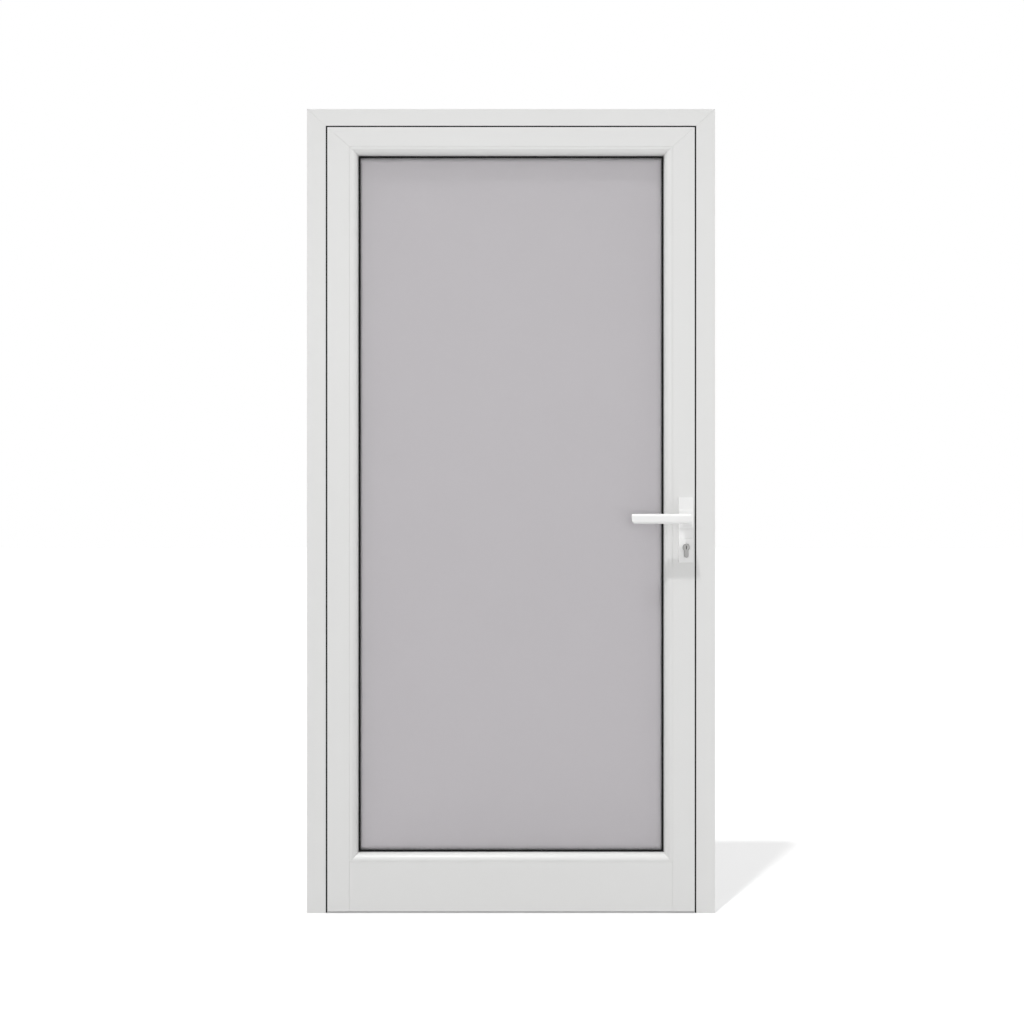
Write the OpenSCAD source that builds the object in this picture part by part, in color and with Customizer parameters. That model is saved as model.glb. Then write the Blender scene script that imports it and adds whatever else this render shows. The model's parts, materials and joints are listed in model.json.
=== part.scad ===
// Single-leaf glazed aluminium door with its three-sided frame.
// Millimetres. X runs to the lock side, Y to the back, Z up. The origin is on the floor, in the
// middle of the frame's width and depth. The leaf opens to the back, on hinges at the left.
// Sections are drawn as u, inward from the frame's outer edge, and v, back from the front face.

/* [Frame] */
// Overall width of the frame
frame_w = 1000; // [800:1:1300]
// Overall height of the frame
frame_h = 1970; // [1800:1:2400]
// Depth of the frame and leaf profiles
profile_d = 60; // [58:1:80]
// Width of the frame's hollow tube
tube_w = 30; // [26:1:50]
// Reach of the stop leg beyond the tube
stop_reach = 16; // [15:0.5:20]
// Thickness of the stop leg
stop_t = 12; // [10:0.5:14]
// Wall of the extruded profiles
wall = 2; // [1.5:0.1:2.5]
// Width of the head and top rail profiles against the uprights, which sets the mitre
head_ratio = 0.888; // [0.8:0.001:1]
// Height of the lower wall fixing
fixing_z = 250; // [150:5:500]
// Radius of the wall fixing holes
fixing_r = 4; // [3:0.25:5]
// Radius of the access holes for the fixing screws
access_r = 7; // [6:0.25:9]

/* [Leaf] */
// Gap between frame and leaf on both faces
face_gap = 4; // [3:0.5:6]
// Gap between frame and leaf inside the rebate
rebate_gap = 8; // [8:0.5:11]
// Depth between the stop leg and the leaf's shoulder
seal_gap = 5; // [4:0.5:6]
// Gap between the leaf and the floor
floor_gap = 4; // [3:0.5:12]
// Width of the stile's front face
stile_face = 54; // [48:1:80]
// Height of the bottom rail's front face
rail_h = 121; // [80:1:250]
// Thickness of the lip that covers the gap at the back
lip_t = 5; // [3:0.5:6]
// Thickness of the glazing flange at the back
flange_t = 3; // [2:0.5:4]
// Length of the corner cleats' arms
cleat_l = 90; // [70:1:140]
// Width of the corner cleats in the leaf
cleat_w = 20; // [12:1:30]
// Length of the connectors in the bottom rail
connector_l = 60; // [40:1:120]

/* [Glazing] */
// Face width of the glazing beads
bead_w = 20; // [18:1:30]
// Radius of the beads' inner front edge
bead_r = 14; // [6:0.5:16]
// Wall of the glazing beads
bead_wall = 1.5; // [1:0.1:2.5]
// Thickness of each pane
pane_t = 4; // [3:0.5:6]
// Cavity between the panes
cavity_t = 16; // [12:1:18]
// Thickness of the glazing gaskets
glazing_gasket_t = 4; // [3:0.5:5]
// Width of gasket that shows beside the bead
gasket_show = 5; // [2:0.5:8]
// Room between the panes' edges and the profiles
glass_room = 6; // [4:0.5:7]
// Width of the spacer bar between the panes
spacer_w = 7; // [5:0.5:10]
// Width of the sealant round the spacer bar
edge_seal_w = 5; // [3:0.5:8]
// Length of each setting block
block_l = 100; // [60:5:150]
// Distance of the setting blocks from the sides of the glazing
block_in = 100; // [60:5:200]

/* [Handles] */
// Height of the lever's axis
handle_z = 966; // [900:1:1100]
// Distance of the lever's axis from the lock's face
backset = 37; // [35:0.5:45]
// Distance of the cylinder below the lever's axis
cylinder_drop = 70; // [68:0.5:92]
// Width of the handle plate
plate_w = 36; // [32:0.5:40]
// Reach of the plate above the lever's axis
plate_above = 53; // [50:1:80]
// Reach of the plate below the cylinder's axis
plate_below = 37; // [31:1:60]
// Thickness of the handle plate
plate_t = 9; // [8:0.5:12]
// Corner radius of the handle plate
plate_r = 3; // [1:0.5:6]
// Rise of the plate's raised pads
pad_t = 3.5; // [2:0.5:6]
// Half height of the raised pads
pad_h = 21.5; // [19:0.5:24]
// Wall of the plate cover
cover_wall = 2; // [1.5:0.1:2.5]
// Length of the lever from its axis to the tip
lever_l = 136; // [110:1:160]
// Height of the lever bar
lever_h = 24; // [20:0.5:30]
// Thickness of the lever bar
lever_t = 14; // [10:0.5:20]
// Radius of the lever bar's long edges
lever_edge_r = 6; // [2:0.5:6.5]
// Radius of the lower corner at the lever's tip
lever_tip_r = 10; // [2:0.5:10]
// Distance of the lever bar from the leaf's face
lever_out = 44; // [38:0.5:60]
// Radius of the lever's neck
neck_r = 11; // [8.5:0.25:12]
// Width of the square spindle
spindle_w = 8; // [7:0.5:9]
// Turn of the lever, in degrees
lever_turn = 40; // [30:1:45]

/* [Lock] */
// Thickness of the lock case
case_t = 18; // [17:0.5:20]
// Wall of the lock case
case_wall = 1.5; // [1:0.1:2]
// Reach of the case above the lever's axis
case_above = 64; // [60:1:80]
// Reach of the case below the cylinder's axis
case_below = 32; // [30:1:45]
// Reach of the case past the lever's axis
case_past = 19; // [18:0.5:21]
// Width of the lock's faceplate
faceplate_w = 24; // [22:0.5:26]
// Thickness of the lock's faceplate
faceplate_t = 3; // [2:0.5:3.5]
// Reach of the faceplate past each end of the case
faceplate_over = 30; // [18:1:45]
// Thickness of the strike plate
strike_t = 2; // [1.5:0.25:2.5]
// Travel of the latch bolt
latch_travel = 12; // [9:0.5:12]
// Height of the latch bolt's head
latch_h = 30; // [24:1:34]
// Width of the latch bolt's head
latch_w = 10; // [8:0.5:12]
// Throw of the dead bolt
bolt_throw = 20; // [14:0.5:21]
// Height of the dead bolt
bolt_h = 32; // [24:1:34]
// Width of the dead bolt
bolt_w = 12; // [8:0.5:12]
// Radius of the lock follower's hub
follower_r = 10; // [9:0.25:11]
// Radius of the follower's journals
journal_r = 7.5; // [7:0.25:8.5]
// Width of the follower's arm
arm_w = 5; // [4:0.25:6]
// Radius of the follower arm's tip
arm_tip_r = 3; // [2:0.25:3.5]
// Radius of the cylinder's round part
cylinder_r = 8.5; // [8.25:0.25:9]
// Overall height of the cylinder's profile
cylinder_h = 33; // [32:0.5:34]
// Width of the cylinder's lower part
cylinder_web = 10; // [9:0.5:11]
// Radius of the turning plugs
plug_r = 6.5; // [6:0.25:7]
// Rise of the cylinder above the plate's pad
cylinder_proud = 2; // [0:0.5:4]
// Radius that the cam's nose sweeps
cam_r = 15; // [13:0.5:15.5]
// Thickness of the cam
cam_t = 9; // [7:0.5:10]

/* [Hinges] */
// Height of each hinge's plates and knuckles
hinge_h = 100; // [80:1:160]
// Height of the frame's knuckle in the middle
knuckle_h = 42; // [34:1:60]
// Radius of the hinge barrel
barrel_r = 11; // [10:0.25:13]
// Radius of the hinge pin
pin_r = 5; // [4:0.25:5.5]
// Wall of the bushes
bush_t = 2; // [1:0.25:2.5]
// Thickness of the hinge plates
hinge_plate_t = 3; // [2:0.25:5]
// Width of the leaf's hinge plate
leaf_plate_w = 36; // [30:1:50]
// Distance of the outer hinges from the frame's ends
hinge_end = 220; // [180:5:350]
// Thickness of the caps on the barrels
cap_t = 2; // [1:0.25:4]

/* [Screws] */
// Radius of the screws' shanks
screw_r = 2.5; // [2:0.25:3]
// Radius of the countersunk heads
screw_head_r = 4.5; // [4:0.25:5]
// Length of the screws
screw_l = 14; // [10:0.5:16]

/* [Fits] */
// Hairline between fixed pieces
seam = 0.2; // [0.1:0.05:0.4]
// Gap between pieces that slide past each other
slide_gap = 0.4; // [0.3:0.05:0.6]
// Radial clearance of turning pins and journals
running_gap = 0.05; // [0.02:0.01:0.1]
// Radial clearance of pressed pieces
press_gap = 0.02; // [0.01:0.01:0.05]

/* [Hidden] */
$fn = 64;
// Overshoot of the cutting shapes
past = 1;

// Section lines, inward from the frame's outer edge
u_stop = tube_w + stop_reach;
u_face = u_stop + face_gap;
u_edge = tube_w + rebate_gap;
u_lip = tube_w + face_gap;
u_sight = u_face + stile_face;
u_flange = u_sight + bead_w;
// Section lines, back from the front face
v_step = stop_t + seal_gap;
v_lip = profile_d - lip_t;
v_flange = profile_d - flange_t;
v_rear_gasket = v_flange - glazing_gasket_t;
v_rear_pane = v_rear_gasket - pane_t;
v_cavity = v_rear_pane - cavity_t;
v_front_pane = v_cavity - pane_t;
bead_d = v_front_pane - glazing_gasket_t;

// Rectangles as left, bottom, right, top
rail_top = floor_gap + rail_h;
frame_rect = [-frame_w / 2, 0, frame_w / 2, frame_h];
leaf_rect = [-frame_w / 2, floor_gap, frame_w / 2, frame_h];
sight_x = frame_w / 2 - u_sight;
sight_rect = [-sight_x, rail_top, sight_x, frame_h - head_ratio * u_sight];

// Frame gasket: groove in the stop leg, strip and hollow bulb behind it, lining and lip in the gap
groove_w = 3;
groove_d = 3;
groove_u = u_stop - 2 * groove_w;
gasket_strip_t = 2;
gasket_short = 1.7;
bulb_r = (seal_gap - slide_gap) / 2;
bulb_wall = 1;
bulb_u = groove_u + groove_w / 2;
bulb_v = stop_t + bulb_r;
lining_t = 0.8;
gap_lip_v = 2.5;
gap_lip_t = 1.5;
gap_lip_room = 1;

// Bottom seal: channel under the bottom rail and the lip that hangs from it
channel_w = 12;
channel_h = 8;
channel_v = (profile_d - channel_w) / 2;
seal_lip_t = 4;
seal_lip_room = 0.5;
seal_lip_h = floor_gap - seal_lip_room;

// Glazing: bite of the gaskets and place of the setting blocks
bite_room = 2;
gasket_bite = glass_room + bite_room;
block_x = sight_x - block_in - block_l / 2;

// Lock: depth, inner room and heights
u_lock_face = u_edge - faceplate_t;
u_spindle = u_lock_face + backset;
u_case_back = u_spindle + case_past;
v_lock = (v_step + wall + v_flange) / 2;
case_v = [v_lock - case_t / 2, v_lock + case_t / 2];
inner_v = [case_v[0] + case_wall, case_v[1] - case_wall];
faceplate_v = [v_lock - faceplate_w / 2, v_lock + faceplate_w / 2];
cylinder_z = handle_z - cylinder_drop;
case_z = [cylinder_z - case_below, handle_z + case_above];
faceplate_z = [case_z[0] - faceplate_over, case_z[1] + faceplate_over];
faceplate_screw_z = [faceplate_z[0] + faceplate_over / 2, faceplate_z[1] - faceplate_over / 2];
strike_short = 7.5;
strike_z = [cylinder_z, faceplate_z[1] - strike_short];
strike_room = 1.5;
strike_screw_z = [strike_z[0] + screw_head_r * 2, strike_z[1] - screw_head_r * 2];

// Follower: its arm carries the latch through the latch's whole travel
arm_r = latch_travel / (2 * sin(lever_turn / 2));
follower_v = [inner_v[0] + slide_gap, inner_v[1] - slide_gap];
arm_tip_z = handle_z + arm_r * cos(lever_turn / 2);
latch_z = handle_z + arm_r + arm_tip_r + slide_gap;
latch_head_u = [u_lock_face - latch_travel, u_edge + latch_travel];
latch_nose = 2;
latch_tail_h = 13;
latch_tail_w = 8;
latch_leg_w = 5;
latch_leg_u = u_spindle - latch_travel / 2 + arm_tip_r + slide_gap;

// Dead bolt: midway between the follower and the cam
bolt_z = (handle_z - follower_r + cylinder_z + cam_r) / 2;
bolt_notch_h = 8;
bolt_notch_w = 8;
bolt_notch_u = u_spindle + bolt_throw / 2;
bolt_tail = 2;

// Cylinder: its ends, cam slot and fixing screw
cylinder_v = [-plate_t - pad_t - cylinder_proud, profile_d + plate_t + pad_t + cylinder_proud];
slot_v = [v_lock - cam_t / 2 - slide_gap, v_lock + cam_t / 2 + slide_gap];
slot_z = cylinder_z - cam_r - slide_gap;
cylinder_bottom = cylinder_z + cylinder_r - cylinder_h;
cylinder_screw_z = (slot_z + cylinder_bottom) / 2;
cylinder_screw_l = backset + cylinder_web / 2;
plug_proud = 0.6;
key_slot_w = 2;
key_slot_h = 8.5;
key_slot_d = 12;
cam_hub_wall = 1.5;
cam_hub_r = plug_r + cam_hub_wall;
cam_nose_w = 7;

// Handle plate and base, measured from the lever's axis
plate_bottom = -cylinder_drop - plate_below;
plate_h = plate_above - plate_bottom;
base_t = 3.5;
base_inset = cover_wall + seam;
handle_screw_end = 12;
handle_screw_rise = 17;
handle_screw_b = [plate_above - handle_screw_end, -cylinder_drop + cylinder_r + handle_screw_rise];
neck_foot = base_t + slide_gap;
lever_bore_d = 10;
spindle_v = [-lever_out - lever_bore_d, profile_d + lever_out + lever_bore_d];
lever_corner_r = 2;

// Hinges: axis, knuckles and plates
u_axis = tube_w + face_gap / 2;
v_axis = profile_d + slide_gap + barrel_r;
hinge_zs = [frame_h - hinge_end, frame_h / 2, hinge_end];
knuckle_gap = 0.5;
knuckle_side = 1;
knuckle_room = barrel_r + knuckle_side;
frame_plate_u = 3;
plate_screw_end = 12;
frame_screw_u = (frame_plate_u + u_axis - knuckle_room) / 2;
frame_screw_zs = [-hinge_h / 2 + plate_screw_end, 0, hinge_h / 2 - plate_screw_end];
leaf_screw_u = u_axis + knuckle_room + leaf_plate_w / 2;
leaf_screws = 4;
leaf_screw_span = hinge_h - 2 * plate_screw_end;
leaf_screw_zs = [for (i = [0:leaf_screws - 1]) (i / (leaf_screws - 1) - 1 / 2) * leaf_screw_span];
cap_plug_h = 4;
leaf_knuckle_z = knuckle_h / 2 + knuckle_gap;
bush_top = hinge_h / 2 - cap_plug_h - knuckle_gap;

// Screw sockets, and caps over the fixing screws
socket_wall = 0.75;
socket_r = screw_r - socket_wall;
socket_d = 2.5;
cap_grip = 6;
cap_rim_t = 1;
cap_rim_w = 1.5;

// Colours of the finishes
coat = "whitesmoke";
rubber = "#1c1c1e";
steel = "#b9bbbd";
zinc = "#9ea2a5";
brass = "#c9c6bb";
glass = "#bab7ba";

// Placing helpers

// A rectangle in a section, its widths taken at the given ratio
module panel(ratio, u, v) {
    translate([ratio * u[0], v[0]]) square([ratio * (u[1] - u[0]), v[1] - v[0]]);
}

// A block near the lock edge, between pairs of u, v and z
module edge_block(u, v, z) {
    translate([frame_w / 2 - u[1], v[0] - profile_d / 2, z[0]])
        cube([u[1] - u[0], v[1] - v[0], z[1] - z[0]]);
}

// An outline across the depth, drawn as X and Z around a point near the lock edge
module through(u, z, v) {
    translate([frame_w / 2 - u, v[1] - profile_d / 2, z])
        rotate([90, 0, 0]) linear_extrude(v[1] - v[0]) children();
}

// A round rod or hole across the leaf's width, near the lock edge
module cross_rod(u, v, z, r) {
    translate([frame_w / 2 - u[1], v - profile_d / 2, z])
        rotate([0, 90, 0]) cylinder(h = u[1] - u[0], r = r);
}

// What is drawn near the lock edge, moved to the hinge edge
module hinge_side() {
    mirror([1, 0, 0]) children();
}

// What is drawn on the front face, moved to the rear face
module rear_side() {
    mirror([0, 1, 0]) children();
}

// A section run along one side of a rectangle: 0 bottom, 1 lock side, 2 top, 3 hinge side.
// Its ends are cut back by the given lengths over the section's reach.
module run(rect, side, reach, cut_start, cut_end) {
    length = side % 2 == 0 ? rect[2] - rect[0] : rect[3] - rect[1];
    corner = [[rect[0], rect[1]], [rect[2], rect[1]], [rect[2], rect[3]], [rect[0], rect[3]]][side];
    start = cut_start > 0 ? seam / 2 : 0;
    end = length - (cut_end > 0 ? seam / 2 : 0);
    translate([corner[0], -profile_d / 2, corner[1]])
        rotate([0, -90 * side, 0])
            intersection() {
                translate([length, 0, 0]) rotate([0, -90, 0]) linear_extrude(length) children();
                translate([0, profile_d + past, 0]) rotate([90, 0, 0]) linear_extrude(profile_d + 2 * past)
                    polygon([[start, 0], [end, 0], [end - cut_end, reach], [start + cut_start, reach]]);
            }
}

// A ring in the glazing, between two distances inside the sight line
module glazing_ring(d, v) {
    difference() {
        glazing_slab(d[0], v);
        glazing_slab(d[1], [v[0] - past, v[1] + past]);
    }
}

// A slab over the glazing, at a distance inside the sight line
module glazing_slab(d, v) {
    translate([-sight_x + d, v[0] - profile_d / 2, rail_top + d])
        cube([2 * (sight_x - d), v[1] - v[0], sight_rect[3] - head_ratio * d - rail_top - d]);
}

// A countersunk socket screw along -Z, its head at the origin, or the plain hole for one
module screw(length, extra = 0) {
    r = screw_r + extra;
    head_r = screw_head_r + extra;
    difference() {
        rotate_extrude() polygon([[0, 0], [head_r, 0], [r, r - head_r], [r, -length], [0, -length]]);
        if (extra == 0) translate([0, 0, -socket_d]) cylinder(h = socket_d + past, r = socket_r, $fn = 6);
    }
}

// Outlines that several pieces share

// A rectangle with round corners, centred
module rounded_rect(size, r) {
    square([size[0] - 2 * r, size[1]], center = true);
    square([size[0], size[1] - 2 * r], center = true);
    for (x = [-1, 1], y = [-1, 1])
        translate([x * (size[0] / 2 - r), y * (size[1] / 2 - r)]) circle(r = r);
}

// What is taken off a corner at the origin to round it
module corner_cut(r) {
    difference() {
        translate([-past, -past]) square(r + past);
        translate([r, r]) circle(r = r);
    }
}

// The lock cylinder's outline around its plug, grown by a clearance
module cylinder_outline(gap) {
    web = cylinder_web / 2 + gap;
    drop = cylinder_h - cylinder_r - cylinder_web / 2;
    circle(r = cylinder_r + gap);
    translate([-web, -drop]) square([2 * web, drop]);
    translate([0, -drop]) circle(r = web);
}

// The handle plate's outline around the lever's axis
module plate_outline(inset) {
    translate([0, (plate_above + plate_bottom) / 2])
        rounded_rect([plate_w - 2 * inset, plate_h - 2 * inset], max(plate_r - inset, seam));
}

// Profile sections

// Frame tube with its stop leg and gasket groove
module frame_section(ratio) {
    difference() {
        union() {
            panel(ratio, [0, tube_w], [0, profile_d]);
            panel(ratio, [0, u_stop], [0, stop_t]);
        }
        panel(ratio, [wall, tube_w - wall], [wall, profile_d - wall]);
        panel(ratio, [tube_w, u_stop - wall], [wall, stop_t - groove_d - wall]);
        panel(ratio, [groove_u, groove_u + groove_w], [stop_t - groove_d, stop_t + past]);
    }
}

// Gasket root, strip and hollow bulb, with a lining and a lip that close the gap to the leaf
module gasket_section(ratio) {
    difference() {
        union() {
            panel(ratio, [u_stop, u_stop + lining_t], [gap_lip_v, stop_t + gasket_strip_t]);
            panel(ratio, [u_stop, u_face - gap_lip_room], [gap_lip_v, gap_lip_v + gap_lip_t]);
            panel(ratio, [groove_u + seam, groove_u + groove_w - seam], [stop_t - groove_d + seam, stop_t]);
            panel(ratio, [groove_u - seam, u_face - gasket_short], [stop_t, stop_t + gasket_strip_t]);
            translate([ratio * bulb_u, bulb_v]) circle(r = bulb_r);
        }
        translate([ratio * bulb_u, bulb_v]) circle(r = bulb_r - bulb_wall);
    }
}

// Leaf tube with its rear lip, front shoulder, inner web and glazing flange
module stile_section(ratio) {
    outline = [
        [u_face, 0], [u_sight, 0], [u_sight, v_flange], [u_flange, v_flange], [u_flange, profile_d],
        [u_lip, profile_d], [u_lip, v_lip], [u_edge, v_lip], [u_edge, v_step], [u_face, v_step]
    ];
    difference() {
        polygon([for (point = outline) [ratio * point[0], point[1]]]);
        panel(ratio, [u_face + wall, u_sight - wall], [wall, v_step]);
        panel(ratio, [u_edge + wall, u_sight - wall], [v_step + wall, v_flange]);
    }
}

// Bottom rail, drawn upward from its lower edge, with its seal channel and glazing flange
module rail_section() {
    difference() {
        union() {
            panel(1, [0, rail_h], [0, profile_d]);
            panel(1, [rail_h, rail_h + bead_w], [v_flange, profile_d]);
        }
        difference() {
            panel(1, [wall, rail_h - wall], [wall, v_flange]);
            panel(1, [0, channel_h + wall], [channel_v - wall, channel_v + channel_w + wall]);
            panel(1, [(rail_h - wall) / 2, (rail_h + wall) / 2], [0, profile_d]);
        }
        panel(1, [-past, channel_h], [channel_v, channel_v + channel_w]);
    }
}

// Solid outline of a glazing bead, drawn inward from the sight line
module bead_outline(ratio, inset) {
    width = ratio * bead_w;
    round_r = ratio * bead_r;
    difference() {
        translate([seam + inset, inset]) square([width - seam - 2 * inset, bead_d - 2 * inset]);
        translate([width - round_r, -past]) difference() {
            square(round_r + past);
            translate([0, round_r + past]) circle(r = round_r - inset);
        }
    }
}

// Hollow glazing bead
module bead_section(ratio) {
    difference() {
        bead_outline(ratio, 0);
        bead_outline(ratio, bead_wall);
    }
}

// Frame

module wall_fixing_holes() {
    for (z = [fixing_z, frame_h - fixing_z]) {
        cross_rod([-past, wall + past], profile_d / 2, z, fixing_r);
        cross_rod([tube_w - wall - past, tube_w + past], profile_d / 2, z, access_r);
    }
}

module jamb() {
    difference() {
        run(frame_rect, 1, u_stop, 0, head_ratio * u_stop) frame_section(1);
        wall_fixing_holes();
    }
}

// Openings for the latch and the dead bolt in what they enter
module strike_openings(u, room) {
    edge_block(u, [v_lock - latch_w / 2 - room, v_lock + latch_w / 2 + room],
        [latch_z - room, latch_z + latch_h + room]);
    edge_block(u, [v_lock - bolt_w / 2 - room, v_lock + bolt_w / 2 + room],
        [bolt_z - bolt_h / 2 - room, bolt_z + bolt_h / 2 + room]);
}

module strike_screw_set(extra) {
    for (z = strike_screw_z)
        translate([frame_w / 2 - tube_w - strike_t, v_lock - profile_d / 2, z])
            rotate([0, -90, 0]) screw(screw_l, extra);
}

module frame_hinge_jamb() {
    color(coat) hinge_side() difference() {
        jamb();
        hinge_screw_set(frame_screw_u, frame_screw_zs, press_gap);
    }
}

module frame_lock_jamb() {
    color(coat) difference() {
        jamb();
        strike_openings([tube_w - wall - past, tube_w + past], 2 * strike_room);
        strike_screw_set(press_gap);
    }
}

module frame_head() {
    color(coat) run(frame_rect, 2, head_ratio * u_stop, u_stop, u_stop) frame_section(head_ratio);
}

// An angle in an upper corner, its outer edges following the profiles' chambers
module corner_cleat(u, v) {
    top = frame_h - head_ratio * u[0];
    edge_block(u, v, [top - cleat_l, top]);
    edge_block([u[0], u[0] + cleat_l], v, [frame_h - head_ratio * u[1], top]);
}

module frame_corner_cleats() {
    u = [wall + seam, tube_w - wall - seam];
    v = [wall + seam, profile_d - wall - seam];
    color(zinc) {
        corner_cleat(u, v);
        hinge_side() corner_cleat(u, v);
    }
}

module frame_gasket() {
    reach = u_face;
    color(rubber) {
        run(frame_rect, 1, reach, 0, head_ratio * reach) gasket_section(1);
        run(frame_rect, 2, head_ratio * reach, reach, reach) gasket_section(head_ratio);
        run(frame_rect, 3, reach, head_ratio * reach, 0) gasket_section(1);
    }
}

// Caps in the access holes of one jamb
module fixing_cap_set() {
    for (z = [fixing_z, frame_h - fixing_z]) {
        cross_rod([tube_w - wall - cap_grip, tube_w], profile_d / 2, z, access_r - seam);
        cross_rod([tube_w, tube_w + cap_rim_t], profile_d / 2, z, access_r + cap_rim_w);
    }
}

module fixing_caps() {
    color(coat) {
        fixing_cap_set();
        hinge_side() fixing_cap_set();
    }
}

module strike_plate() {
    color(steel) difference() {
        edge_block([tube_w, tube_w + strike_t], faceplate_v, strike_z);
        strike_openings([tube_w - past, tube_w + strike_t + past], strike_room);
        strike_screw_set(press_gap);
    }
}

module strike_screws() {
    color(steel) strike_screw_set(0);
}

// Hinges

// A cylinder on the hinge axis
module pivot(r, z) {
    translate([frame_w / 2 - u_axis, v_axis - profile_d / 2, z[0]]) cylinder(h = z[1] - z[0], r = r);
}

// Screws through the hinge plates, at every hinge
module hinge_screw_set(u, zs, extra) {
    for (hinge = hinge_zs, z = zs)
        translate([frame_w / 2 - u, profile_d / 2 + hinge_plate_t, hinge + z])
            rotate([-90, 0, 0]) screw(screw_l, extra);
}

module hinge_frame_part(z) {
    plate_v = [profile_d, profile_d + hinge_plate_t];
    half = [-knuckle_h / 2, knuckle_h / 2];
    color(coat) hinge_side() difference() {
        translate([0, 0, z]) difference() {
            union() {
                edge_block([frame_plate_u, u_axis - knuckle_room], plate_v, [-hinge_h / 2, hinge_h / 2]);
                edge_block([frame_plate_u, u_axis], plate_v, half);
                edge_block([u_axis - knuckle_room, u_axis], [profile_d, v_axis], half);
                pivot(barrel_r, half);
            }
            pivot(pin_r + press_gap, [half[0] - past, half[1] + past]);
        }
        hinge_screw_set(frame_screw_u, frame_screw_zs, press_gap);
    }
}

module hinge_leaf_part(z) {
    plate_v = [profile_d, profile_d + hinge_plate_t];
    plate_u = [u_axis + knuckle_room, u_axis + knuckle_room + leaf_plate_w];
    knuckle = [leaf_knuckle_z, hinge_h / 2];
    color(coat) hinge_side() difference() {
        translate([0, 0, z]) difference() {
            union() {
                edge_block(plate_u, plate_v, [-hinge_h / 2, hinge_h / 2]);
                for (flip = [0, 1]) mirror([0, 0, flip]) {
                    edge_block([u_axis, plate_u[1]], plate_v, knuckle);
                    edge_block([u_axis, plate_u[0]], [profile_d, v_axis], knuckle);
                    pivot(barrel_r, knuckle);
                }
            }
            for (flip = [0, 1]) mirror([0, 0, flip])
                pivot(pin_r + bush_t + press_gap, [knuckle[0] - past, knuckle[1] + past]);
        }
        hinge_screw_set(leaf_screw_u, leaf_screw_zs, press_gap);
    }
}

module hinge_pin(z) {
    reach = bush_top - knuckle_gap;
    color(steel) hinge_side() translate([0, 0, z]) pivot(pin_r, [-reach, reach]);
}

module hinge_bushes() {
    color(rubber) hinge_side() for (z = hinge_zs, flip = [0, 1])
        translate([0, 0, z]) mirror([0, 0, flip]) difference() {
            pivot(pin_r + bush_t, [leaf_knuckle_z, bush_top]);
            pivot(pin_r + running_gap, [leaf_knuckle_z - past, bush_top + past]);
        }
}

module hinge_caps() {
    color(coat) hinge_side() for (z = hinge_zs, flip = [0, 1])
        translate([0, 0, z]) mirror([0, 0, flip]) {
            pivot(barrel_r, [hinge_h / 2, hinge_h / 2 + cap_t]);
            pivot(pin_r + bush_t, [hinge_h / 2 - cap_plug_h, hinge_h / 2 + cap_t / 2]);
        }
}

module hinge_frame_screws() {
    color(steel) hinge_side() hinge_screw_set(frame_screw_u, frame_screw_zs, 0);
}

module hinge_leaf_screws() {
    color(steel) hinge_side() hinge_screw_set(leaf_screw_u, leaf_screw_zs, 0);
}

// Leaf

module stile() {
    difference() {
        run(leaf_rect, 1, u_flange, 0, head_ratio * u_flange) stile_section(1);
        edge_block([u_sight, u_flange + past], [v_flange - past, profile_d + past], [0, rail_top]);
    }
}

module leaf_hinge_stile() {
    color(coat) hinge_side() difference() {
        stile();
        hinge_screw_set(leaf_screw_u, leaf_screw_zs, press_gap);
    }
}

module leaf_lock_stile() {
    across = [-past, profile_d + past];
    color(coat) difference() {
        stile();
        edge_block([u_edge - past, u_edge + wall + past], [case_v[0] - seam, case_v[1] + seam],
            [case_z[0] - seam, case_z[1] + seam]);
        through(u_spindle, handle_z, across) circle(r = journal_r + slide_gap);
        through(u_spindle, cylinder_z, across) cylinder_outline(slide_gap);
        faceplate_screw_set(press_gap);
        handle_screw_set(press_gap);
    }
}

module leaf_top_rail() {
    color(coat) run(leaf_rect, 2, head_ratio * u_flange, u_flange, u_flange) stile_section(head_ratio);
}

module rail_run(length) {
    translate([length / 2, -profile_d / 2, floor_gap]) rotate([0, -90, 0]) linear_extrude(length) children();
}

module leaf_bottom_rail() {
    end_u = [u_sight - past, u_flange + seam];
    end_v = [v_flange - past, profile_d + past];
    end_z = [rail_top, rail_top + bead_w + past];
    color(coat) difference() {
        rail_run(2 * (sight_x - seam)) rail_section();
        edge_block(end_u, end_v, end_z);
        hinge_side() edge_block(end_u, end_v, end_z);
    }
}

module leaf_corner_cleats() {
    u = [u_edge + wall + seam, u_edge + wall + cleat_w];
    v = [v_step + wall + seam, v_flange - seam];
    color(zinc) {
        corner_cleat(u, v);
        hinge_side() corner_cleat(u, v);
    }
}

module rail_connector() {
    edge_block([u_sight + seam, u_sight + connector_l], [wall + seam, v_flange - seam],
        [floor_gap + (rail_h + wall) / 2 + seam, rail_top - wall - seam]);
}

module bottom_rail_connectors() {
    color(zinc) {
        rail_connector();
        hinge_side() rail_connector();
    }
}

module bottom_seal() {
    color(rubber) rail_run(2 * (sight_x - seam)) {
        panel(1, [seam, channel_h - seam], [channel_v + seam, channel_v + channel_w - seam]);
        panel(1, [-seal_lip_h, 2 * seam], [(profile_d - seal_lip_t) / 2, (profile_d + seal_lip_t) / 2]);
    }
}

// Glazing

module glass_front_pane() {
    color(glass) glazing_slab(glass_room, [v_front_pane, v_cavity]);
}

module glass_rear_pane() {
    color(glass) glazing_slab(glass_room, [v_rear_pane, v_rear_gasket]);
}

module glass_spacer() {
    inner = glass_room + edge_seal_w;
    color(zinc) glazing_ring([inner, inner + spacer_w], [v_cavity, v_rear_pane]);
}

module glass_edge_seal() {
    color(rubber) glazing_ring([glass_room, glass_room + edge_seal_w - seam], [v_cavity, v_rear_pane]);
}

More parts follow.
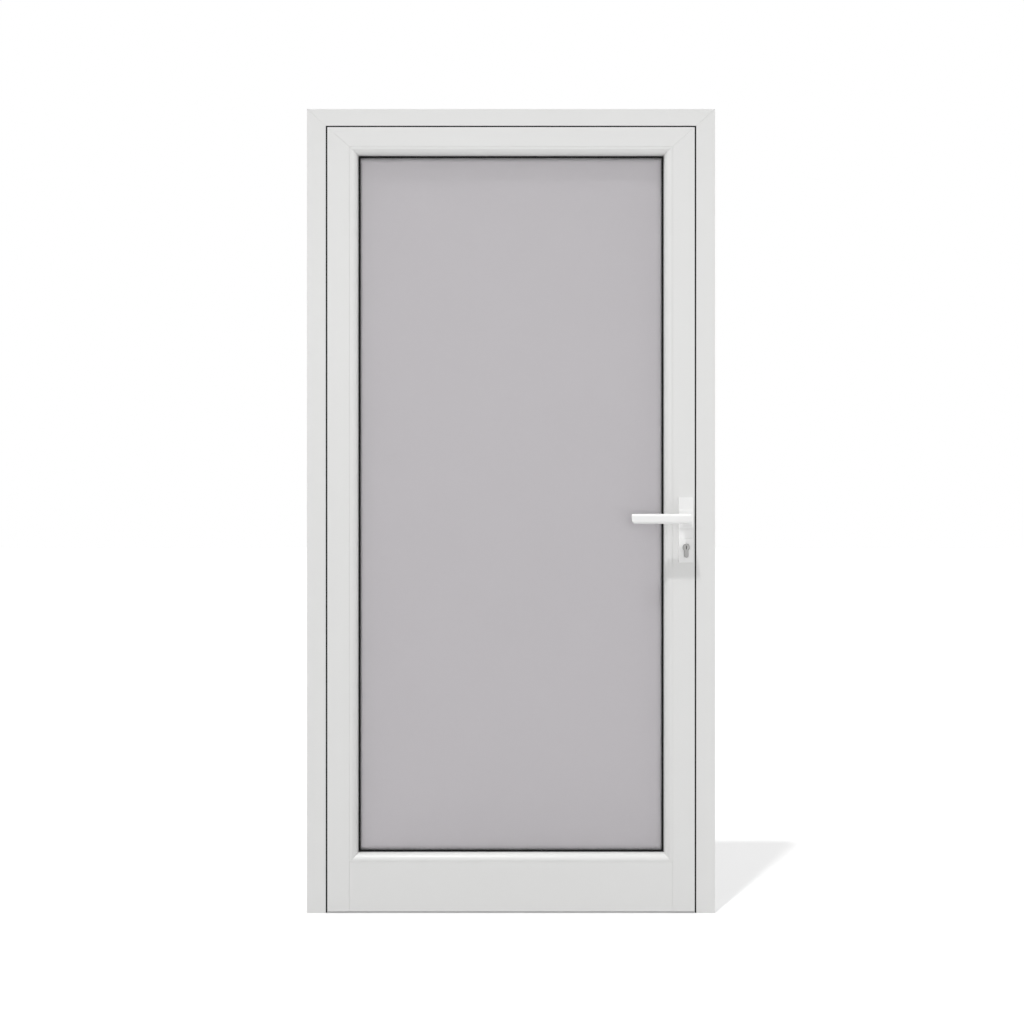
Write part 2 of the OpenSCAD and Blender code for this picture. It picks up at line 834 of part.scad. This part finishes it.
module setting_blocks() {
    color(rubber) for (x = [-block_x, block_x])
        translate([x - block_l / 2, v_front_pane - profile_d / 2, rail_top])
            cube([block_l, v_rear_gasket - v_front_pane, glass_room]);
}

module glazing_gasket_front() {
    color(rubber) glazing_ring([gasket_bite, bead_w + gasket_show], [bead_d, v_front_pane]);
}

module glazing_gasket_rear() {
    color(rubber) glazing_ring([gasket_bite, bead_w + gasket_show], [v_rear_gasket, v_flange]);
}

module glazing_bead_bottom() {
    color(coat) run(sight_rect, 0, bead_w, bead_w, bead_w) bead_section(1);
}

module glazing_bead_lock_side() {
    color(coat) run(sight_rect, 1, bead_w, bead_w, head_ratio * bead_w) bead_section(1);
}

module glazing_bead_top() {
    color(coat) run(sight_rect, 2, head_ratio * bead_w, bead_w, bead_w) bead_section(head_ratio);
}

module glazing_bead_hinge_side() {
    color(coat) run(sight_rect, 3, bead_w, head_ratio * bead_w, bead_w) bead_section(1);
}

// Lock

// Screws and fixing of the faceplate, along the leaf's width
module edge_screw(z, length, extra) {
    translate([frame_w / 2 - u_lock_face, v_lock - profile_d / 2, z]) rotate([0, 90, 0]) screw(length, extra);
}

module faceplate_screw_set(extra) {
    for (z = faceplate_screw_z) edge_screw(z, screw_l, extra);
}

module lock_case() {
    front = [case_v[0] - past, inner_v[0] + past];
    color(zinc) difference() {
        edge_block([u_edge, u_case_back], case_v, case_z);
        edge_block([u_edge - past, u_case_back - case_wall], [inner_v[0], case_v[1] + past],
            [case_z[0] + case_wall, case_z[1] - case_wall]);
        through(u_spindle, handle_z, front) circle(r = journal_r + running_gap);
        through(u_spindle, cylinder_z, front) cylinder_outline(seam);
    }
}

module lock_cover() {
    rear = [inner_v[1] - past, case_v[1] + past];
    color(zinc) difference() {
        edge_block([u_edge, u_case_back - case_wall - seam], [inner_v[1], case_v[1]],
            [case_z[0] + case_wall + seam, case_z[1] - case_wall - seam]);
        through(u_spindle, handle_z, rear) circle(r = journal_r + running_gap);
        through(u_spindle, cylinder_z, rear) cylinder_outline(seam);
    }
}

module lock_faceplate() {
    color(steel) difference() {
        edge_block([u_lock_face, u_edge], faceplate_v, faceplate_z);
        strike_openings([u_lock_face - past, u_edge + past], slide_gap);
        faceplate_screw_set(press_gap);
        edge_screw(cylinder_screw_z, cylinder_screw_l, press_gap);
    }
}

module faceplate_screws() {
    color(steel) faceplate_screw_set(0);
}

module cylinder_body() {
    across = [cylinder_v[0] - past, cylinder_v[1] + past];
    color(brass) difference() {
        through(u_spindle, cylinder_z, cylinder_v) cylinder_outline(0);
        through(u_spindle, cylinder_z, across) circle(r = plug_r + running_gap);
        edge_block([u_spindle - cylinder_r - past, u_spindle + cylinder_r + past], slot_v,
            [slot_z, cylinder_z + cylinder_r + past]);
        edge_screw(cylinder_screw_z, cylinder_screw_l + past, press_gap);
    }
}

module cylinder_screw() {
    color(steel) edge_screw(cylinder_screw_z, cylinder_screw_l, 0);
}

module cylinder_plugs() {
    front = [cylinder_v[0] - plug_proud, v_lock - cam_t / 2 - seam];
    rear = [v_lock + cam_t / 2 + seam, cylinder_v[1] + plug_proud];
    color(brass) difference() {
        for (v = [front, rear]) through(u_spindle, cylinder_z, v) circle(r = plug_r);
        for (v = [[front[0] - past, front[0] + key_slot_d], [rear[1] - key_slot_d, rear[1] + past]])
            through(u_spindle, cylinder_z, v) square([key_slot_w, key_slot_h], center = true);
    }
}

module cylinder_cam() {
    color(zinc) through(u_spindle, cylinder_z, [v_lock - cam_t / 2, v_lock + cam_t / 2]) {
        circle(r = cam_hub_r);
        intersection() {
            circle(r = cam_r);
            translate([-cam_nose_w / 2, -cam_r]) square([cam_nose_w, cam_r]);
        }
    }
}

module lock_follower() {
    arm_v = [v_lock - latch_tail_w / 2, v_lock + latch_tail_w / 2];
    color(zinc) difference() {
        union() {
            through(u_spindle, handle_z, follower_v) circle(r = follower_r);
            through(u_spindle, handle_z, case_v) circle(r = journal_r);
            through(u_spindle, handle_z, arm_v) rotate(-lever_turn / 2) {
                translate([-arm_w / 2, 0]) square([arm_w, arm_r]);
                translate([0, arm_r]) circle(r = arm_tip_r);
            }
        }
        through(u_spindle, handle_z, [case_v[0] - past, case_v[1] + past])
            square(spindle_w + 2 * running_gap, center = true);
    }
}

module latch_bolt() {
    head_v = [v_lock - latch_w / 2, v_lock + latch_w / 2];
    tail_v = [v_lock - latch_tail_w / 2, v_lock + latch_tail_w / 2];
    leg_u = [latch_leg_u, latch_leg_u + latch_leg_w];
    color(steel) {
        translate([frame_w / 2, -profile_d / 2, latch_z]) mirror([1, 0, 0]) linear_extrude(latch_h)
            polygon([
                [latch_head_u[0], head_v[1]], [latch_head_u[0], head_v[1] - latch_nose],
                [u_lock_face, head_v[0]], [latch_head_u[1], head_v[0]], [latch_head_u[1], head_v[1]]
            ]);
        edge_block([latch_head_u[1] - past, leg_u[1]], tail_v, [latch_z, latch_z + latch_tail_h]);
        edge_block(leg_u, tail_v, [arm_tip_z - past, latch_z + latch_tail_h]);
    }
}

module dead_bolt() {
    bolt_v = [v_lock - bolt_w / 2, v_lock + bolt_w / 2];
    notch_u = [bolt_notch_u - bolt_notch_w / 2, bolt_notch_u + bolt_notch_w / 2];
    bottom = bolt_z - bolt_h / 2;
    color(steel) difference() {
        edge_block([u_lock_face, notch_u[1] + bolt_tail], bolt_v, [bottom, bottom + bolt_h]);
        edge_block(notch_u, [bolt_v[0] - past, bolt_v[1] + past], [bottom - past, bottom + bolt_notch_h]);
    }
}

// Handles, drawn outward from the leaf's front face around the lever's axis

module handle_face() {
    translate([frame_w / 2 - u_spindle, -profile_d / 2, handle_z]) rotate([90, 0, 0]) children();
}

module handle_screw_pair(extra) {
    handle_face() for (b = handle_screw_b) translate([0, b, base_t]) screw(screw_l, extra);
}

module handle_screw_set(extra) {
    handle_screw_pair(extra);
    rear_side() handle_screw_pair(extra);
}

module handle_base() {
    difference() {
        handle_face() difference() {
            linear_extrude(base_t) plate_outline(base_inset);
            translate([0, 0, -past]) cylinder(h = base_t + 2 * past, r = journal_r + slide_gap);
            translate([0, -cylinder_drop, -past]) linear_extrude(base_t + 2 * past) cylinder_outline(seam);
        }
        handle_screw_pair(press_gap);
    }
}

module handle_plate() {
    full_t = plate_t + pad_t;
    handle_face() difference() {
        union() {
            linear_extrude(plate_t) plate_outline(0);
            linear_extrude(full_t) intersection() {
                plate_outline(0);
                union() {
                    translate([-plate_w / 2, -pad_h]) square([plate_w, 2 * pad_h]);
                    translate([-plate_w / 2, plate_bottom]) square([plate_w, plate_below + pad_h]);
                }
            }
        }
        translate([0, 0, -past]) linear_extrude(plate_t - cover_wall + past) plate_outline(cover_wall);
        translate([0, 0, -past]) cylinder(h = full_t + 2 * past, r = neck_r + running_gap);
        translate([0, -cylinder_drop, -past]) linear_extrude(full_t + 2 * past) cylinder_outline(slide_gap);
    }
}

// Bar with a round end on the axis and a rounded lower corner at the tip
module lever_outline() {
    circle(r = lever_h / 2);
    difference() {
        translate([-lever_l, -lever_h / 2]) square([lever_l, lever_h]);
        translate([-lever_l, -lever_h / 2]) corner_cut(lever_tip_r);
        translate([-lever_l, lever_h / 2]) mirror([0, 1]) corner_cut(lever_corner_r);
    }
}

// The bar, with its long edges rounded
module lever_bar() {
    intersection() {
        linear_extrude(lever_t) lever_outline();
        translate([-lever_l - past, 0, lever_t / 2]) rotate([0, 90, 0])
            linear_extrude(lever_l + lever_h) rounded_rect([lever_t, lever_h], lever_edge_r);
    }
}

module lever() {
    bore = spindle_w + 2 * running_gap;
    handle_face() difference() {
        union() {
            translate([0, 0, neck_foot]) cylinder(h = lever_out + lever_t / 2 - neck_foot, r = neck_r);
            translate([0, 0, lever_out]) lever_bar();
        }
        linear_extrude(lever_out + lever_bore_d + seam) square(bore, center = true);
    }
}

module handle_base_front() {
    color(zinc) handle_base();
}

module handle_base_rear() {
    color(zinc) rear_side() handle_base();
}

module handle_plate_front() {
    color(coat) handle_plate();
}

module handle_plate_rear() {
    color(coat) rear_side() handle_plate();
}

module handle_screws() {
    color(steel) handle_screw_set(0);
}

module lever_front() {
    color(coat) lever();
}

module lever_rear() {
    color(coat) rear_side() lever();
}

module spindle() {
    color(steel) through(u_spindle, handle_z, spindle_v) square(spindle_w, center = true);
}

frame_hinge_jamb();
frame_lock_jamb();
frame_head();
frame_corner_cleats();
frame_gasket();
fixing_caps();
strike_plate();
strike_screws();
hinge_frame_part(hinge_zs[0]);  // hinge_top_frame_part
hinge_frame_part(hinge_zs[1]);  // hinge_middle_frame_part
hinge_frame_part(hinge_zs[2]);  // hinge_bottom_frame_part
hinge_pin(hinge_zs[0]);  // hinge_top_pin
hinge_pin(hinge_zs[1]);  // hinge_middle_pin
hinge_pin(hinge_zs[2]);  // hinge_bottom_pin
hinge_frame_screws();
leaf_hinge_stile();
leaf_lock_stile();
leaf_top_rail();
leaf_bottom_rail();
leaf_corner_cleats();
bottom_rail_connectors();
glass_front_pane();
glass_rear_pane();
glass_spacer();
glass_edge_seal();
setting_blocks();
glazing_bead_top();
glazing_bead_bottom();
glazing_bead_hinge_side();
glazing_bead_lock_side();
glazing_gasket_front();
glazing_gasket_rear();
bottom_seal();
lock_case();
lock_cover();
lock_faceplate();
faceplate_screws();
cylinder_body();
cylinder_screw();
handle_base_front();
handle_base_rear();
handle_plate_front();
handle_plate_rear();
handle_screws();
hinge_leaf_part(hinge_zs[0]);  // hinge_top_leaf_part
hinge_leaf_part(hinge_zs[1]);  // hinge_middle_leaf_part
hinge_leaf_part(hinge_zs[2]);  // hinge_bottom_leaf_part
hinge_bushes();
hinge_caps();
hinge_leaf_screws();
lever_front();
lever_rear();
spindle();
lock_follower();
latch_bolt();
dead_bolt();
cylinder_plugs();
cylinder_cam();
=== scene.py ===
"""Looks of the glazed aluminium door: finishes, fine edges, light and camera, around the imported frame.

Metres, in the part's own frame: X to the lock side, Y to the back, Z up.
"""
import json
import math

import bpy
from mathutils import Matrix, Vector


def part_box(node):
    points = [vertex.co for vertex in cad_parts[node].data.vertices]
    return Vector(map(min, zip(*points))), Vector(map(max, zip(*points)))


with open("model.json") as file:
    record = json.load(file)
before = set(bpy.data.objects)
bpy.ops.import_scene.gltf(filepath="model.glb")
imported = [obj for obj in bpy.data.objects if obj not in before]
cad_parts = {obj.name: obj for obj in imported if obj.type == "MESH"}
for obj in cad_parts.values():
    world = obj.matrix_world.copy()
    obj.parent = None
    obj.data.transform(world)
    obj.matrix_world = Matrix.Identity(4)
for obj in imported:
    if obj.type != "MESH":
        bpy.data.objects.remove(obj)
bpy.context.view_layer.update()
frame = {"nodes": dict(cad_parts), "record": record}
NODES = frame["nodes"]
SUBPARTS = frame["record"]["subparts"]

# Camera: level, a little right of and below the middle of the door
CAMERA_X = 0.0024
CAMERA_Z = 0.9826
CAMERA_DISTANCE = 4.0
CAMERA_LENS = 57.4
CAMERA_SENSOR = 36.0
CAMERA_REACH = 200.0

# Lamps: a key from high in front, and soft ones in front and to the right
KEY_TRAVEL = (0.42, 1.0, -2.4)
KEY_STRENGTH = 1.36
KEY_ANGLE = math.radians(2.0)
FRONT_PLACE = (-0.3, -2.7, 1.9)
FRONT_AIM = (0.0, 0.0, 1.5)
FRONT_SIZE = (2.4, 1.2)
FRONT_POWER = 12.0
SIDE_PLACE = (3.0, -1.0, 1.4)
SIDE_AIM = (-0.35, 0.0, 1.1)
SIDE_SIZE = (1.5, 2.0)
SIDE_POWER = 7.0

# Surroundings: a dome with its tones in front, at the sides and behind, a white backdrop and a floor
DOME_STRENGTH = 1.28
DOME_TONES = (0.0, 1.0, 0.5)
DOME_SIDES = 0.5
BACKDROP = 1.0
FLOOR_SIZE = 80.0
FLOOR_LIFT = 0.25

# Linear colours
WHITE = (1.0, 1.0, 1.0, 1.0)
COAT = (0.765, 0.765, 0.757)
HANDLE = (0.885, 0.885, 0.88)
RUBBER = (0.006, 0.006, 0.0065)
SATIN_GLASS = (0.75, 0.734, 0.75)
ALUMINIUM = (0.60, 0.60, 0.61)
ZINC = (0.42, 0.43, 0.44)
STEEL = (0.58, 0.58, 0.57)
NICKEL = (0.35, 0.35, 0.345)
FLOOR = (0.66, 0.66, 0.66)

# Grain: how much it is stretched along X, Y and Z, and how deep it is
NO_GRAIN = (1.0, 1.0, 1.0)
GRAIN_UP = (1.0, 1.0, 0.06)
GRAIN_ACROSS = (0.06, 1.0, 1.0)
GRAIN_DEPTH = 0.0002
ETCH_DEPTH = 0.0001

# Each metal's colour, roughness and grain
METALS = {
    "mill_aluminium": (ALUMINIUM, 0.36, GRAIN_ACROSS),
    "zinc_steel": (ZINC, 0.42, NO_GRAIN),
    "bright_steel": (STEEL, 0.3, GRAIN_UP),
    "nickel_brass": (NICKEL, 0.34, NO_GRAIN),
}

# Edges: what counts as one face, what counts as an edge, and radii with their segments
WELD_REACH = 1e-6
FLAT_ANGLE = math.radians(0.5)
EDGE_ANGLE = math.radians(35)
COAT_EDGE = (0.0003, 2)
HANDLE_EDGE = (0.0012, 3)
LEVER_EDGE = (0.0015, 4)
METAL_EDGE = (0.0003, 2)
RUBBER_EDGE = (0.0006, 2)
GLASS_EDGE = (0.0008, 2)


class Nodes:
    """A material's node tree, with short calls to add and join its nodes."""

    def __init__(self, name):
        self.material = bpy.data.materials.new(name)
        self.material.use_nodes = True
        self.tree = self.material.node_tree
        self.shader = self.tree.nodes["Principled BSDF"]
        self.place = self.add("ShaderNodeTexCoord").outputs["Object"]

    def add(self, kind, **settings):
        node = self.tree.nodes.new(kind)
        for key, value in settings.items():
            setattr(node, key, value)
        return node

    def join(self, output, socket):
        self.tree.links.new(output, socket)

    def surface(self, colour, roughness, metallic=0.0, specular=0.5):
        self.shader.inputs["Base Color"].default_value = (*colour, 1.0)
        self.shader.inputs["Roughness"].default_value = roughness
        self.shader.inputs["Metallic"].default_value = metallic
        self.shader.inputs["Specular IOR Level"].default_value = specular

    def noise(self, scale, detail=2.0, stretch=NO_GRAIN):
        mapping = self.add("ShaderNodeMapping")
        mapping.inputs["Scale"].default_value = stretch
        texture = self.add("ShaderNodeTexNoise")
        texture.inputs["Scale"].default_value = scale
        texture.inputs["Detail"].default_value = detail
        self.join(self.place, mapping.inputs["Vector"])
        self.join(mapping.outputs["Vector"], texture.inputs["Vector"])
        return texture.outputs["Fac"]

    def bump(self, height, strength, depth):
        node = self.add("ShaderNodeBump")
        node.inputs["Strength"].default_value = strength
        node.inputs["Distance"].default_value = depth
        self.join(height, node.inputs["Height"])
        self.join(node.outputs["Normal"], self.shader.inputs["Normal"])

    def vary_colour(self, factor, colour, darkest, lightest):
        mix = self.add("ShaderNodeMix", data_type="RGBA")
        mix.inputs["A"].default_value = (*shade(colour, darkest), 1.0)
        mix.inputs["B"].default_value = (*shade(colour, lightest), 1.0)
        self.join(factor, mix.inputs["Factor"])
        self.join(mix.outputs["Result"], self.shader.inputs["Base Color"])

    def vary_roughness(self, factor, lowest, highest):
        scaled = self.add("ShaderNodeMapRange")
        scaled.inputs["To Min"].default_value = lowest
        scaled.inputs["To Max"].default_value = highest
        self.join(factor, scaled.inputs["Value"])
        self.join(scaled.outputs["Result"], self.shader.inputs["Roughness"])


def shade(colour, factor):
    return tuple(channel * factor for channel in colour)


def white_coat():
    """Powder coat: satin, with a fine orange peel and hardly any change of tone."""
    nodes = Nodes("white_coat")
    nodes.surface(COAT, roughness=0.38)
    nodes.vary_colour(nodes.noise(scale=3.0), COAT, darkest=0.985, lightest=1.015)
    nodes.vary_roughness(nodes.noise(scale=40.0), lowest=0.34, highest=0.42)
    nodes.bump(nodes.noise(scale=900.0), strength=0.12, depth=GRAIN_DEPTH)
    return nodes.material


def white_handle():
    """Smooth coat of the levers and plates, glossier than the profiles."""
    nodes = Nodes("white_handle")
    nodes.surface(HANDLE, roughness=0.24)
    nodes.shader.inputs["Coat Weight"].default_value = 0.25
    nodes.shader.inputs["Coat Roughness"].default_value = 0.12
    nodes.vary_roughness(nodes.noise(scale=60.0), lowest=0.21, highest=0.28)
    nodes.bump(nodes.noise(scale=500.0), strength=0.06, depth=GRAIN_DEPTH)
    return nodes.material


def black_rubber():
    """Extruded rubber: matt, with a fine grain and faint chalky patches."""
    nodes = Nodes("black_rubber")
    nodes.surface(RUBBER, roughness=0.62, specular=0.18)
    nodes.vary_colour(nodes.noise(scale=25.0), RUBBER, darkest=0.7, lightest=1.6)
    nodes.vary_roughness(nodes.noise(scale=90.0), lowest=0.55, highest=0.72)
    nodes.bump(nodes.noise(scale=1600.0), strength=0.2, depth=GRAIN_DEPTH)
    return nodes.material


def satin_glass():
    """Etched pane: an even grey with a soft gloss and a very fine grain."""
    nodes = Nodes("satin_glass")
    nodes.surface(SATIN_GLASS, roughness=0.42, specular=0.4)
    nodes.shader.inputs["Transmission Weight"].default_value = 0.85
    nodes.shader.inputs["IOR"].default_value = 1.5
    nodes.vary_roughness(nodes.noise(scale=8.0), lowest=0.4, highest=0.45)
    nodes.bump(nodes.noise(scale=2500.0), strength=0.05, depth=ETCH_DEPTH)
    return nodes.material


def metal(name, colour, roughness, stretch):
    """Worked metal with a fine grain, drawn along one direction or even, and a little wear."""
    nodes = Nodes(name)
    nodes.surface(colour, roughness, metallic=1.0)
    nodes.vary_colour(nodes.noise(scale=30.0), colour, darkest=0.9, lightest=1.08)
    wear = nodes.noise(scale=220.0, detail=3.0, stretch=stretch)
    nodes.vary_roughness(wear, lowest=roughness * 0.8, highest=roughness * 1.25)
    nodes.bump(nodes.noise(scale=420.0, stretch=stretch), strength=0.08, depth=GRAIN_DEPTH)
    return nodes.material


def seen_rays(tree):
    """1 for rays that the eye follows, straight, mirrored or through glass, and 0 for the others."""
    path = tree.nodes.new("ShaderNodeLightPath")
    seen = path.outputs["Is Camera Ray"]
    for kind in ("Is Glossy Ray", "Is Transmission Ray"):
        either = tree.nodes.new("ShaderNodeMath")
        either.operation = "MAXIMUM"
        tree.links.new(seen, either.inputs[0])
        tree.links.new(path.outputs[kind], either.inputs[1])
        seen = either.outputs["Value"]
    return seen


def floor_material():
    """Matt floor that looks white to the eye where it is lit, and keeps its shadows."""
    nodes = Nodes("studio_floor")
    nodes.surface(FLOOR, roughness=0.9, specular=0.0)
    nodes.shader.inputs["Emission Color"].default_value = WHITE
    lift = nodes.add("ShaderNodeMapRange")
    lift.inputs["To Max"].default_value = FLOOR_LIFT
    nodes.join(seen_rays(nodes.tree), lift.inputs["Value"])
    nodes.join(lift.outputs["Result"], nodes.shader.inputs["Emission Strength"])
    return nodes.material


# Each slot's material and edge, and the nodes that have an edge of their own
FINISHES = {
    "white_coat": (white_coat(), COAT_EDGE),
    "white_handle": (white_handle(), HANDLE_EDGE),
    "black_rubber": (black_rubber(), RUBBER_EDGE),
    "satin_glass": (satin_glass(), GLASS_EDGE),
}
for metal_name, look in METALS.items():
    FINISHES[metal_name] = (metal(metal_name, *look), METAL_EDGE)
EDGES = {"lever_front": LEVER_EDGE, "lever_rear": LEVER_EDGE}


def finish_node(node, slot):
    """A CAD node gets its finish and softly rounded edges."""
    piece = NODES[node]
    material, edge = FINISHES[slot]
    width, segments = EDGES.get(node, edge)
    piece.data.materials.clear()
    piece.data.materials.append(material)
    weld = piece.modifiers.new("join_faces", "WELD")
    weld.merge_threshold = WELD_REACH
    flat = piece.modifiers.new("flat_faces", "DECIMATE")
    flat.decimate_type = "DISSOLVE"
    flat.angle_limit = FLAT_ANGLE
    bevel = piece.modifiers.new("soft_edges", "BEVEL")
    bevel.width = width
    bevel.segments = segments
    bevel.limit_method = "ANGLE"
    bevel.angle_limit = EDGE_ANGLE
    bevel.use_clamp_overlap = True
    bevel.harden_normals = False


def add_floor():
    """A large flat floor under the door."""
    half = FLOOR_SIZE / 2
    mesh = bpy.data.meshes.new("studio_floor")
    corners = [(-half, -half, 0.0), (half, -half, 0.0), (half, half, 0.0), (-half, half, 0.0)]
    mesh.from_pydata(corners, [], [(0, 1, 2, 3)])
    mesh.materials.append(floor_material())
    floor = bpy.data.objects.new("studio_floor", mesh)
    bpy.context.scene.collection.objects.link(floor)


def add_world():
    """A dome that lights from the sides and behind, and a white backdrop for the eye."""
    world = bpy.data.worlds.new("studio")
    world.use_nodes = True
    tree = world.node_tree
    tree.nodes.clear()
    add = tree.nodes.new
    join = tree.links.new

    # A direction's Y, from -1 in front to 1 behind, picks the tone
    split = add("ShaderNodeSeparateXYZ")
    join(add("ShaderNodeTexCoord").outputs["Generated"], split.inputs["Vector"])
    depth = add("ShaderNodeMapRange")
    depth.inputs["From Min"].default_value = -1.0
    join(split.outputs["Y"], depth.inputs["Value"])
    tones = add("ShaderNodeValToRGB")
    tones.color_ramp.elements.new(DOME_SIDES)
    for stop, tone in zip(tones.color_ramp.elements, DOME_TONES):
        stop.color = (tone, tone, tone, 1.0)
    join(depth.outputs["Result"], tones.inputs["Fac"])
    dome = add("ShaderNodeBackground")
    dome.inputs["Strength"].default_value = DOME_STRENGTH
    join(tones.outputs["Color"], dome.inputs["Color"])

    backdrop = add("ShaderNodeBackground")
    backdrop.inputs["Color"].default_value = WHITE
    backdrop.inputs["Strength"].default_value = BACKDROP
    mix = add("ShaderNodeMixShader")
    join(seen_rays(tree), mix.inputs["Fac"])
    join(dome.outputs["Background"], mix.inputs[1])
    join(backdrop.outputs["Background"], mix.inputs[2])
    join(mix.outputs["Shader"], add("ShaderNodeOutputWorld").inputs["Surface"])
    bpy.context.scene.world = world


def add_lamp(name, lamp, travel, place=(0.0, 0.0, 0.0)):
    """Sets a lamp in its place, with its light going along travel."""
    holder = bpy.data.objects.new(name, lamp)
    holder.location = place
    holder.rotation_euler = Vector(travel).to_track_quat("-Z", "Y").to_euler()
    bpy.context.scene.collection.objects.link(holder)


def add_soft_lamp(name, power, size, place, aim):
    """Adds a flat, wide lamp that faces its aim."""
    lamp = bpy.data.lights.new(name, "AREA")
    lamp.energy = power
    lamp.shape = "RECTANGLE"
    lamp.size, lamp.size_y = size
    add_lamp(name, lamp, Vector(aim) - Vector(place), place)


def add_lamps():
    key = bpy.data.lights.new("key", "SUN")
    key.energy = KEY_STRENGTH
    key.angle = KEY_ANGLE
    add_lamp("key", key, KEY_TRAVEL)
    add_soft_lamp("front", FRONT_POWER, FRONT_SIZE, FRONT_PLACE, FRONT_AIM)
    add_soft_lamp("side", SIDE_POWER, SIDE_SIZE, SIDE_PLACE, SIDE_AIM)


def add_camera():
    """A level camera, square to the door's face."""
    lens = bpy.data.cameras.new("camera")
    lens.lens = CAMERA_LENS
    lens.sensor_width = CAMERA_SENSOR
    lens.clip_end = CAMERA_REACH
    camera = bpy.data.objects.new("camera", lens)
    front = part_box("frame_head")[0].y
    camera.location = (CAMERA_X, front - CAMERA_DISTANCE, CAMERA_Z)
    camera.rotation_euler = (math.pi / 2, 0.0, 0.0)
    bpy.context.scene.collection.objects.link(camera)
    bpy.context.scene.camera = camera


for subpart in SUBPARTS:
    finish_node(subpart["node"], subpart["material_slot"])
add_floor()
add_world()
add_lamps()
add_camera()
bpy.context.scene.view_settings.view_transform = "Standard"
